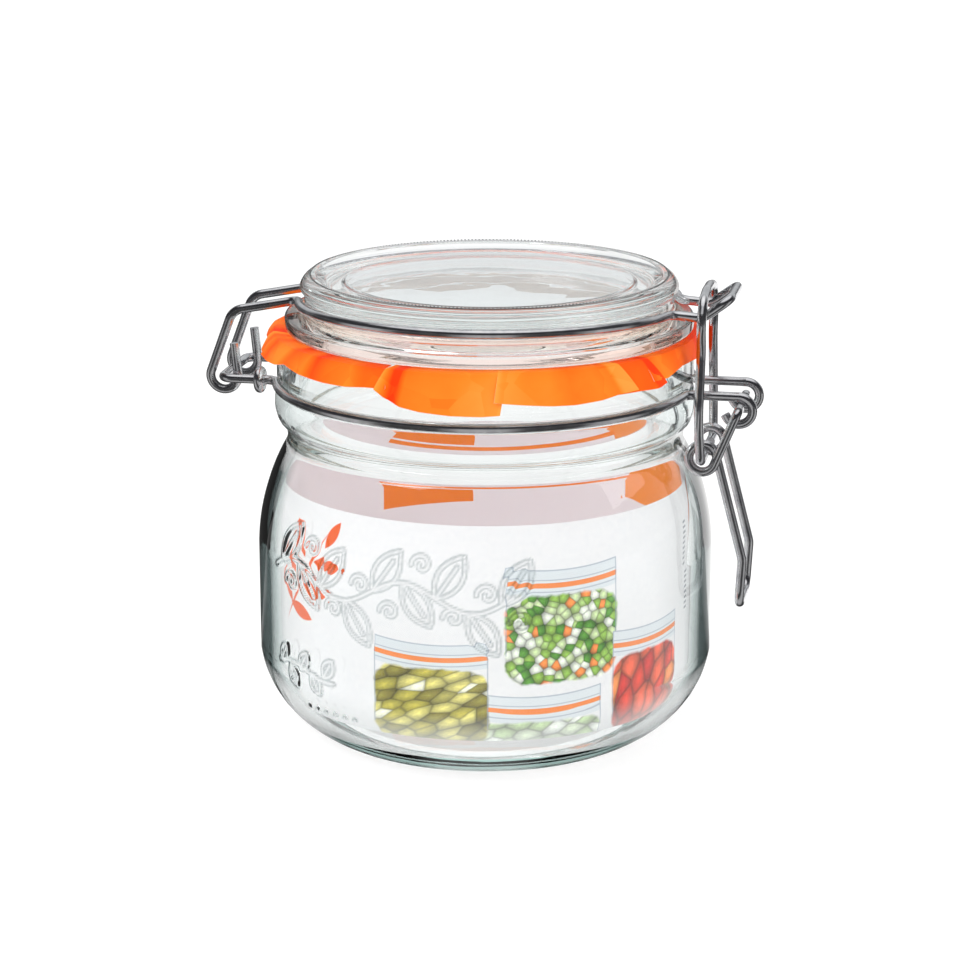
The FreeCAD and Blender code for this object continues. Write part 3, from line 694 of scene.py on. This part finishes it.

# %% [markdown]
# ## The pleated paper ring
# A flat collar of orange paper lies on the rim under the lid, and its skirt hangs down over the
# rim in broad overlapping tongues. Each tongue is a grid bent to the section of the rim. Where two
# tongues meet, the one on the higher layer lies over its neighbour. Creases are straight folds that
# run down the skirt, so a few points along the low edge are enough to shape a tongue and give the
# painted shade of its folds. A painted shadow darkens the paper under the lid and at the top of
# the skirt.

# %% Tongues
TONGUES = [
    # layer, slant of the left and right edge in degrees, then along the low edge: degrees from the
    # front, height and reach in mm, and how light the painted shade of the paper is there
    (0, 4, 14, [(-128, 88.6, 48.4, 0.3), (-120, 90.0, 49.2, 0.5), (-112, 91.0, 50.0, 0.5),
                (-105, 91.1, 50.3, 0.35), (-100, 90.2, 50.4, 0.55), (-96.6, 89.4, 50.3, 0.4),
                (-94, 88.2, 49.4, 0.15), (-86, 87.6, 48.6, 0.15)]),
    (1, 15, -2, [(-95, 88.0, 50.2, 0.9), (-92, 86.9, 50.8, 0.7), (-89, 86.7, 50.3, 0.35),
                 (-84, 87.4, 50.6, 0.55), (-79, 87.3, 50.1, 0.25), (-73, 87.8, 50.3, 0.5),
                 (-66, 88.4, 50.5, 0.55), (-61.5, 89.2, 49.9, 0.2), (-53, 88.5, 50.5, 0.5),
                 (-49, 88.1, 50.0, 0.15), (-44, 88.0, 50.2, 0.4), (-36, 88.2, 50.5, 0.55),
                 (-31, 88.6, 50.1, 0.3), (-25, 88.8, 50.0, 0.3)]),
    (2, 2, 3, [(-27.6, 88.7, 50.9, 0.85), (-26.6, 88.0, 50.7, 0.6), (-25.2, 86.9, 50.2, 0.3),
               (-24.4, 86.5, 49.7, 0.0), (-22.8, 85.9, 49.9, 0.05), (-21.2, 85.4, 50.5, 0.45),
               (-16, 84.6, 50.6, 0.55), (-8.5, 84.0, 50.3, 0.6), (-1, 84.0, 50.6, 0.75),
               (3.4, 84.3, 50.8, 0.85)]),
    (3, 1.6, -6, [(2.0, 87.1, 50.7, 1.0), (3.4, 86.9, 50.6, 0.75), (10, 86.3, 50.4, 0.62),
                  (16, 85.9, 50.6, 0.66), (22, 85.7, 50.4, 0.5), (29, 86.1, 50.5, 0.62),
                  (34.5, 86.8, 50.2, 0.5), (36.0, 86.9, 50.4, 0.85), (40.2, 87.1, 50.4, 0.9)]),
    (2, 3, -6, [(33, 86.6, 50.0, 0.35), (41, 86.6, 50.3, 0.35), (46.5, 86.4, 50.6, 0.3),
                (47.6, 86.5, 50.7, 0.0), (50.8, 87.1, 50.4, 0.05)]),
    (1, -2, -2, [(46, 88.0, 50.3, 0.3), (51.5, 87.9, 50.2, 0.6), (57, 88.4, 49.3, 0.45),
                 (62, 88.7, 48.6, 0.4), (70, 88.3, 48.2, 0.25), (78, 87.6, 48.2, 0.15),
                 (86, 84.5, 48.3, 0.1), (92, 85.0, 49.0, 0.05), (97, 88.6, 50.2, 0.15),
                 (101, 90.6, 50.6, 0.3), (104, 90.0, 50.0, 0.1)]),
    (0, 2, 2, [(100, 86.8, 49.4, 0.1), (110, 86.9, 50.4, 0.3), (124, 86.2, 50.5, 0.5),
               (131, 86.9, 50.1, 0.3), (140, 87.4, 50.6, 0.5)]),
    (1, 2, -3, [(136, 87.2, 50.1, 0.4), (149, 86.0, 50.5, 0.6), (156, 85.7, 50.1, 0.2),
                (168, 86.6, 50.5, 0.5), (178, 87.6, 50.3, 0.4)]),
    (2, -2, 2, [(174, 88.0, 50.4, 0.5), (186, 86.6, 50.6, 0.3), (193, 86.2, 50.1, 0.1),
                (204, 88.2, 49.6, 0.5), (216, 89.6, 48.4, 0.4), (234, 90.2, 48.2, 0.3)]),
]
print("paper ring has", len(TONGUES), "tongues")


# %% Sheet helpers
def flat_grid(columns, rows):
    """A flat grid, and how far along and up it each vertex lies, from 0 to 1."""
    bpy.ops.object.select_all(action="DESELECT")
    bpy.ops.mesh.primitive_grid_add(x_subdivisions=columns, y_subdivisions=rows, size=2.0)
    sheet = bpy.context.object
    shares = (get_places(sheet) * MM + 1) / 2
    return sheet, shares[:, 0], shares[:, 1]


def thicken(sheet, thickness, rim, crease):
    """Give a sheet its thickness in mm, with its second material on the new side.

    `rim` is 1 to put that material on the cut edge too. `crease` is the sharpest smooth fold.
    """
    bpy.ops.object.select_all(action="DESELECT")
    sheet.select_set(True)
    bpy.context.view_layer.objects.active = sheet
    thick = sheet.modifiers.new("thickness", "SOLIDIFY")
    thick.thickness = thickness * MM
    thick.offset = -1.0
    thick.material_offset = 1
    thick.material_offset_rim = rim
    bpy.ops.object.modifier_apply(modifier="thickness")
    bpy.ops.object.shade_smooth_by_angle(angle=math.radians(crease))


print("sheet helpers ready")

# %% Fold the ring
SKIRT_TOP = (47.45, 92.42)
COLLAR_RAD = 43.8
COLLAR_SHARE = 0.28
LAYER_OUT, LAYER_UP = 0.12, 0.14


def paper_tongue(layer, left_slant, right_slant, edge):
    """One tongue of the ring as a thin sheet, orange on its outer side and pale below."""
    edge_angle, edge_level, edge_reach, edge_shade = (np.array(values) for values in zip(*edge))
    columns = max(24, round((edge_angle[-1] - edge_angle[0]) * 1.8))
    sheet, along, up = flat_grid(columns, 16)
    down = 1 - up
    low_angle = edge_angle[0] + (edge_angle[-1] - edge_angle[0]) * along
    slant = (left_slant * (1 - along) ** 2 + right_slant * along ** 2) * up
    angle = FACING + np.radians(low_angle + slant)
    collar = np.clip(down / COLLAR_SHARE, 0, 1)
    skirt = np.clip((down - COLLAR_SHARE) / (1 - COLLAR_SHARE), 0, 1)
    low = np.interp(low_angle, edge_angle, edge_level)
    wide = np.interp(low_angle, edge_angle, edge_reach) + LAYER_UP * layer
    shade = np.interp(low_angle, edge_angle, edge_shade)
    top, high = SKIRT_TOP[0] + LAYER_OUT * layer, SKIRT_TOP[1] + LAYER_UP * layer
    roll = 1 - (1 - skirt) ** 1.8
    reach = COLLAR_RAD + (top - COLLAR_RAD) * collar
    reach = reach + (wide - top) * (0.25 * roll + 0.75 * skirt)
    level = high - (high - low) * skirt ** 1.15
    set_places(sheet, np.column_stack([reach * np.cos(angle), reach * np.sin(angle), level]))
    # Painted shade of the folds, with a painted shadow that darkens the collar and the top of the
    # skirt under the lid.
    sheet.data.attributes.new("fold_shade", "FLOAT", "POINT").data.foreach_set(
        "value", np.clip(shade - 0.12 * (1 - skirt) ** 3, 0, 1))
    sheet.data.materials.append(orange_paper)
    sheet.data.materials.append(pale_edge)
    thicken(sheet, 0.12, 1, 24)
    return sheet


tongues = [paper_tongue(*sizes) for sizes in TONGUES]
paper_ring = joined("pleated_paper_ring", tongues)
print("paper ring of", len(tongues), "tongues,", len(paper_ring.data.polygons), "faces")

# %% [markdown]
# ## The rolled leaflet
# A printed sheet is rolled into the jar, where it springs out against the wall and its ends
# overlap. A long grid is wrapped round the axis, and its UV map is rewritten in millimetres, so
# that the print can be laid out as on a flat sheet.

# %% Roll the leaflet
LEAFLET_START, LEAFLET_END = -354.0, 14.0
LEAFLET_RAD = 47.45
LEAFLET_SPAN = (11.2, 58.7)
SHEET_UV = 0.01
leaflet, along, up = flat_grid(300, 40)
leaflet.name = "rolled_leaflet"
level = LEAFLET_SPAN[0] + (LEAFLET_SPAN[1] - LEAFLET_SPAN[0]) * up
turn = np.radians(LEAFLET_START + (LEAFLET_END - LEAFLET_START) * along)
overlap = 0.45 * np.clip((along - 0.86) / 0.1, 0, 1)
upper_curl = 1.45 * np.clip((level - 48.0) / 10.7, 0, 1) ** 1.3
lower_curl = 1.2 * np.clip((14.6 - level) / 3.4, 0, 1) ** 1.3
wave = 0.10 * np.sin(turn * 5 + 0.7) - 0.08
reach = LEAFLET_RAD - overlap - upper_curl - lower_curl + wave
set_places(leaflet, np.column_stack([reach * np.cos(turn), reach * np.sin(turn), level]))
flat = np.column_stack([(turn - FACING) * LEAFLET_RAD, level]) * SHEET_UV
corners = np.empty(len(leaflet.data.loops), dtype=np.int32)
leaflet.data.loops.foreach_get("vertex_index", corners)
leaflet.data.uv_layers[0].name = "flat_sheet"
leaflet.data.uv_layers[0].data.foreach_set("uv", flat[corners].ravel())
leaflet.data.update()
print("leaflet is", round(math.radians(LEAFLET_END - LEAFLET_START) * LEAFLET_RAD), "mm long")

# %% [markdown]
# ## Node groups for the print
# What is printed on the leaflet is made of a few marks that repeat: a picture, a drawn pot and a
# leaf. Each mark is one node group. It gets the place on the flat sheet in millimetres, the middle
# of the mark and its sizes, and it puts out masks that the paper's material colours.


# %% Print helpers
def new_group(name, inputs, outputs):
    """An empty node group, with its inputs and the place on the sheet from the mark's middle."""
    group = bpy.data.node_groups.new(name, "ShaderNodeTree")
    group.interface.new_socket("Sheet", in_out="INPUT", socket_type="NodeSocketVector")
    for socket in inputs:
        group.interface.new_socket(socket, in_out="INPUT", socket_type="NodeSocketFloat")
    for socket in outputs:
        group.interface.new_socket(socket, in_out="OUTPUT", socket_type="NodeSocketFloat")
    inside = add_node(group, "NodeGroupInput").outputs
    split = add_node(group, "ShaderNodeSeparateXYZ", {0: inside["Sheet"]})
    u = minus(group, split.outputs["X"], inside["Middle U"])
    v = minus(group, split.outputs["Y"], inside["Middle V"])
    return group, inside, u, v


def place_group(tree, group, sheet, names, values, label=""):
    """Use a node group once in a material, with its numbers filled in."""
    inputs = {"Sheet": sheet, **dict(zip(names, values))}
    return add_node(tree, "ShaderNodeGroup", inputs, node_tree=group, label=label).outputs


def turn_axes(tree, u, v, angle):
    """The same place measured along axes that are turned by an angle in radians."""
    cosine = calculate(tree, "COSINE", angle)
    sine = calculate(tree, "SINE", angle)
    run = plus(tree, times(tree, u, cosine), times(tree, v, sine))
    rise = minus(tree, times(tree, v, cosine), times(tree, u, sine))
    return run, rise


def between(tree, value, low, high):
    """1 where a value lies between two numbers."""
    over = calculate(tree, "GREATER_THAN", value, low)
    return times(tree, over, calculate(tree, "LESS_THAN", value, high))


def block_mask(tree, split, first_u, last_u, low, high):
    """1 inside an upright rectangle on the sheet."""
    across = between(tree, split.outputs["X"], first_u, last_u)
    return times(tree, across, between(tree, split.outputs["Y"], low, high))


print("print helpers ready")

# %% [markdown]
# ## Printed vegetables
# The print shows heaps of vegetables in soft-cornered vignettes. One node group makes a vignette:
# a rounded rectangle as a mask, and cells inside it for the pieces of vegetable, each with a
# random number for its colour and a shade that falls towards its rim.

# %% Vignette group
VIGNETTE_SIZES = ("Middle U", "Middle V", "Half Width", "Half Height", "Corner", "Cells",
                  "Stretch", "Turn", "Wobble")
tree, inside, u, v = new_group("vegetable_vignette", VIGNETTE_SIZES, ("Mask", "Piece", "Shade"))
vignette = tree
waver = add_node(tree, "ShaderNodeTexNoise", {
    "Vector": inside["Sheet"], "Scale": 0.35, "Detail": 2.0})
waver = times(tree, minus(tree, waver.outputs["Fac"], 0.5), inside["Wobble"])
edges = []
for side, half in ((u, inside["Half Width"]), (v, inside["Half Height"])):
    inner = minus(tree, calculate(tree, "ABSOLUTE", side), half)
    edges.append(calculate(tree, "MAXIMUM", plus(tree, inner, inside["Corner"]), 0.0))
squares = plus(tree, times(tree, edges[0], edges[0]), times(tree, edges[1], edges[1]))
reach = plus(tree, calculate(tree, "SQRT", squares), waver)
mask = scaled(tree, minus(tree, inside["Corner"], reach), 1.6, 0.5, clamp=True)
run, rise = turn_axes(tree, u, v, inside["Turn"])
run = calculate(tree, "DIVIDE", run, inside["Stretch"])
position = add_node(tree, "ShaderNodeCombineXYZ", {"X": run, "Y": rise}).outputs[0]
spread = {"Vector": position, "Scale": inside["Cells"], "Randomness": 0.9}
cells = add_node(tree, "ShaderNodeTexVoronoi", spread, voronoi_dimensions="2D")
borders = add_node(tree, "ShaderNodeTexVoronoi", spread, voronoi_dimensions="2D",
                   feature="DISTANCE_TO_EDGE")
number = add_node(tree, "ShaderNodeSeparateColor", {0: cells.outputs["Color"]})
gap = scaled(tree, borders.outputs["Distance"], 4.0, 0.58, clamp=True)
fleck = add_node(tree, "ShaderNodeTexNoise", {"Vector": position, "Scale": 2.6, "Detail": 3.0})
shade = minus(tree, 1.45, times(tree, cells.outputs["Distance"], 1.25))
shade = times(tree, shade, scaled(tree, fleck.outputs["Fac"], 0.7, 0.65))
shade = times(tree, shade, gap)
add_node(tree, "NodeGroupOutput", {"Mask": mask, "Piece": number.outputs["Red"], "Shade": shade})
print("vignette group with", len(vignette.nodes), "nodes")

# %% [markdown]
# ## Drawn pots and leaves
# A thin line drawing of a pot with its cap stands round each picture, and a sprig of orange leaves
# grows beside them. Both are simple enough for masks made of distances: a leaf is as wide as a
# parabola along its midrib, and a pot is a set of straight lines whose ends sag a little.

# %% Leaf group
LEAF_SIZES = ("Middle U", "Middle V", "Half Length", "Half Width", "Turn")
tree, inside, u, v = new_group("leaf_mark", LEAF_SIZES, ("Mask",))
leaf_mark = tree
run, rise = turn_axes(tree, u, v, inside["Turn"])
share = calculate(tree, "DIVIDE", run, inside["Half Length"])
width = times(tree, minus(tree, 1.0, times(tree, share, share)), inside["Half Width"])
inner = minus(tree, width, calculate(tree, "ABSOLUTE", rise))
add_node(tree, "NodeGroupOutput", {"Mask": scaled(tree, inner, 4.0, 0.5, clamp=True)})
print("leaf group with", len(leaf_mark.nodes), "nodes")

# %% Pot group
POT_SIZES = VIGNETTE_SIZES[:4]
tree, inside, u, v = new_group("pot_drawing", POT_SIZES, ("Cap", "Band", "Line"))
pot_drawing = tree
beyond = minus(tree, calculate(tree, "ABSOLUTE", u), inside["Half Width"])
within = calculate(tree, "LESS_THAN", beyond, 0.0)
sag = times(tree, times(tree, u, u), 0.006)
rise = minus(tree, minus(tree, v, sag), inside["Half Height"])
cap = times(tree, within, between(tree, rise, -0.3, 5.6))
band = times(tree, within, between(tree, rise, 1.6, 2.7))
line = times(tree, between(tree, beyond, -0.3, 0.0), between(tree, rise, -14.0, 5.6))
for low, high in ((0.6, 0.85), (3.2, 3.45), (5.3, 5.6)):
    across = times(tree, within, between(tree, rise, low, high))
    line = calculate(tree, "MAXIMUM", line, across)
add_node(tree, "NodeGroupOutput", {"Cap": cap, "Band": band, "Line": line})
print("pot group with", len(pot_drawing.nodes), "nodes")

# %% [markdown]
# ## Leaflet paper
# The outer side is white with its pictures in the lower middle, an orange sprig beside them and
# a strip of fine ticks near the seam, and a painted pale reflection turns it pale grey towards its
# bottom edge. The inner side is a pale rose grey with three orange blocks.
# Thin paper lets light soak through, so each side mixes a little translucence into its gloss.


# %% Leaflet helpers
def sheet_material(name):
    """A material for one side of the leaflet, with the place on the flat sheet in mm."""
    material, tree, output = new_material(name)
    flat = add_node(tree, "ShaderNodeUVMap", uv_map="flat_sheet")
    sheet = add_node(tree, "ShaderNodeVectorMath", {
        0: flat.outputs["UV"], 1: (1 / SHEET_UV, 1 / SHEET_UV, 1 / SHEET_UV)}, operation="MULTIPLY")
    split = add_node(tree, "ShaderNodeSeparateXYZ", {0: sheet.outputs[0]})
    return material, tree, output, sheet.outputs[0], split


def printed_side(tree, output, colour, roughness, soaked):
    """Paper that mirrors a little light and lets some soak through."""
    shader = add_node(tree, "ShaderNodeBsdfPrincipled", {
        "Base Color": colour, "Roughness": roughness, "IOR": 1.45})
    soak = add_node(tree, "ShaderNodeBsdfTranslucent", {"Color": colour})
    both = add_node(tree, "ShaderNodeMixShader", {
        0: soaked, 1: shader.outputs[0], 2: soak.outputs[0]})
    tree.links.new(both.outputs[0], output.inputs["Surface"])


print("leaflet helpers ready")

# %% What is printed
PICTURES = [
    # middle u and v, half width, half height and corner in mm, cells per mm, stretch, turn and
    # wobble of the edge, then the colours of the pieces
    ("diced_mix", (17.0, 33.5, 12.8, 9.8, 4.5, 0.52, 1.0, 0.5, 1.6), [
        (0.0, (0.10, 0.33, 0.03)), (0.22, (0.30, 0.52, 0.08)), (0.42, (0.62, 0.74, 0.42)),
        (0.58, (0.84, 0.88, 0.78)), (0.78, (0.95, 0.30, 0.06)), (0.90, (0.42, 0.60, 0.20))]),
    ("pale_greens", (12.0, 11.8, 14.0, 3.4, 2.6, 0.42, 2.0, 0.2, 0.8), [
        (0.0, (0.52, 0.66, 0.36)), (0.35, (0.72, 0.80, 0.60)), (0.7, (0.86, 0.90, 0.82))]),
    ("gherkins", (-12.2, 18.5, 12.8, 8.4, 4.0, 0.50, 2.6, 0.35, 1.4), [
        (0.0, (0.30, 0.26, 0.04)), (0.22, (0.52, 0.46, 0.07)), (0.48, (0.72, 0.66, 0.20)),
        (0.70, (0.42, 0.38, 0.09)), (0.88, (0.90, 0.90, 0.72))]),
    ("red_peppers", (40.0, 18.5, 11.0, 8.5, 4.5, 0.30, 1.8, 1.2, 1.2), [
        (0.0, (0.72, 0.05, 0.02)), (0.35, (0.86, 0.13, 0.05)), (0.65, (0.90, 0.30, 0.08)),
        (0.85, (0.62, 0.03, 0.02))]),
]
SPRIG = [
    # middle u and v, half length and half width in mm, turn in radians
    (-46.0, 42.0, 14.0, 0.45, 0.95), (-54.0, 38.5, 4.4, 1.5, 2.2), (-47.6, 33.8, 4.6, 1.6, -0.25),
    (-51.6, 44.4, 4.8, 1.6, 2.1), (-42.4, 39.6, 4.6, 1.6, -0.15), (-47.5, 50.2, 4.4, 1.5, 2.0),
    (-38.0, 46.0, 4.4, 1.5, 0.0), (-36.6, 53.0, 3.8, 1.3, 1.0),
]
BLOCKS = [
    # first and last u, low and high v in mm, colour
    (-146, -122, 36.0, 46.5, (1.0, 0.27, 0.0)), (-230, -188, 41.5, 58.0, (1.0, 0.34, 0.03)),
    (-190, -122, 48.5, 53.0, (1.0, 0.28, 0.0)),
]
TICKS = (56.6, 58.8, 31.0, 52.0)
print(len(PICTURES), "pictures,", len(SPRIG), "leaves and", len(BLOCKS), "blocks")

# %% Outer side of the leaflet
leaflet_outside, tree, output, sheet, split = sheet_material("leaflet_outside")
grain = add_node(tree, "ShaderNodeTexNoise", {"Vector": sheet, "Scale": 0.9, "Detail": 3.0})
colour = ramp(tree, grain.outputs["Fac"], [(0.3, (0.90, 0.905, 0.92)), (0.7, (0.95, 0.95, 0.955))])
for name, sizes, stops in PICTURES:
    heap = place_group(tree, vignette, sheet, VIGNETTE_SIZES, sizes, name)
    pot = place_group(tree, pot_drawing, sheet, POT_SIZES, sizes)
    pieces = ramp(tree, heap["Piece"], stops, "CONSTANT")
    pieces = blend_colours(tree, 1.0, pieces, grey(tree, heap["Shade"]), "MULTIPLY")
    colour = blend_colours(tree, pot["Cap"], colour, (0.80, 0.85, 0.88, 1.0))
    colour = blend_colours(tree, heap["Mask"], colour, pieces)
    colour = blend_colours(tree, pot["Band"], colour, (1.0, 0.30, 0.07, 1.0))
    colour = blend_colours(tree, times(tree, pot["Line"], 0.55), colour, (0.30, 0.36, 0.46, 1.0))
for sizes in SPRIG:
    mark = place_group(tree, leaf_mark, sheet, LEAF_SIZES, sizes)
    colour = blend_colours(tree, mark["Mask"], colour, (0.92, 0.12, 0.0, 1.0))
ticks = calculate(tree, "SINE", times(tree, split.outputs["Y"], 5.2))
ticks = calculate(tree, "GREATER_THAN", ticks, 0.15)
ticks = times(tree, ticks, block_mask(tree, split, *TICKS))
colour = blend_colours(tree, ticks, colour, (0.30, 0.33, 0.36, 1.0))
# Painted pale reflection: the print turns pale grey towards its bottom edge, below 17 mm.
painted_pale_reflection = scaled(tree, split.outputs["Y"], -1 / 7, 17 / 7, clamp=True)
colour = blend_colours(tree, times(tree, painted_pale_reflection, 0.55), colour, (0.86, 0.89, 0.89, 1.0))
printed_side(tree, output, colour, 0.42, 0.20)
print("outer side with", len(tree.nodes), "nodes")

# %% Inner side of the leaflet
leaflet_inside, tree, output, sheet, split = sheet_material("leaflet_inside")
colour = (0.94, 0.87, 0.89, 1.0)
for *block, ink in BLOCKS:
    colour = blend_colours(tree, block_mask(tree, split, *block), colour, (*ink, 1.0))
printed_side(tree, output, colour, 0.5, 0.35)
print("inner side with", len(tree.nodes), "nodes")

# %% Give the leaflet its thickness
leaflet.data.materials.append(leaflet_outside)
leaflet.data.materials.append(leaflet_inside)
thicken(leaflet, 0.2, 0, 40)
print("leaflet has", len(leaflet.data.polygons), "faces")

# %% [markdown]
# ## Steel wire
# The wires are drawn stainless steel. Drawing leaves fine lines and a satin gloss, so roughness
# and colour vary a little with a noise, and the steel mirrors the room in long streaks.

# %% Steel
steel, tree, output = new_material("drawn_steel")
place = add_node(tree, "ShaderNodeTexCoord")
cloud = add_node(tree, "ShaderNodeTexNoise", {
    "Vector": place.outputs["Object"], "Scale": 240.0, "Detail": 4.0, "Roughness": 0.6})
fine = add_node(tree, "ShaderNodeTexNoise", {
    "Vector": place.outputs["Object"], "Scale": 2600.0, "Detail": 2.0})
colour = ramp(tree, cloud.outputs["Fac"], [(0.3, (0.46, 0.46, 0.48)), (0.7, (0.66, 0.66, 0.67))])
roughness = scaled(tree, cloud.outputs["Fac"], 0.16, 0.12)
bump = add_node(tree, "ShaderNodeBump", {
    "Height": fine.outputs["Fac"], "Strength": 0.15, "Distance": 0.00003})
shader = add_node(tree, "ShaderNodeBsdfPrincipled", {
    "Base Color": colour, "Metallic": 1.0, "Roughness": roughness,
    "Normal": bump.outputs["Normal"]})
tree.links.new(shader.outputs[0], output.inputs["Surface"])
for name in ("neck_wire", "lid_wire", "lever", "bail"):
    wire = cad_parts[name]
    wire.data.materials.clear()
    wire.data.materials.append(steel)
print("steel on four wires")

# %% [markdown]
# ## Riding on the bodies
# Each new piece rides on the body that carries it, and the CAD part that it stands for is hidden.

# %% Ride
for piece, body, node, slot in (
        (jar, "root", "jar", "jar_glass"), (paper_ring, "root", "frill", "orange_paper"),
        (leaflet, "root", "leaflet", "leaflet_paper"), (lid, "lid", "lid", "lid_glass")):
    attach(piece, body)
    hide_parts(node)
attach(lid_beads, "lid")
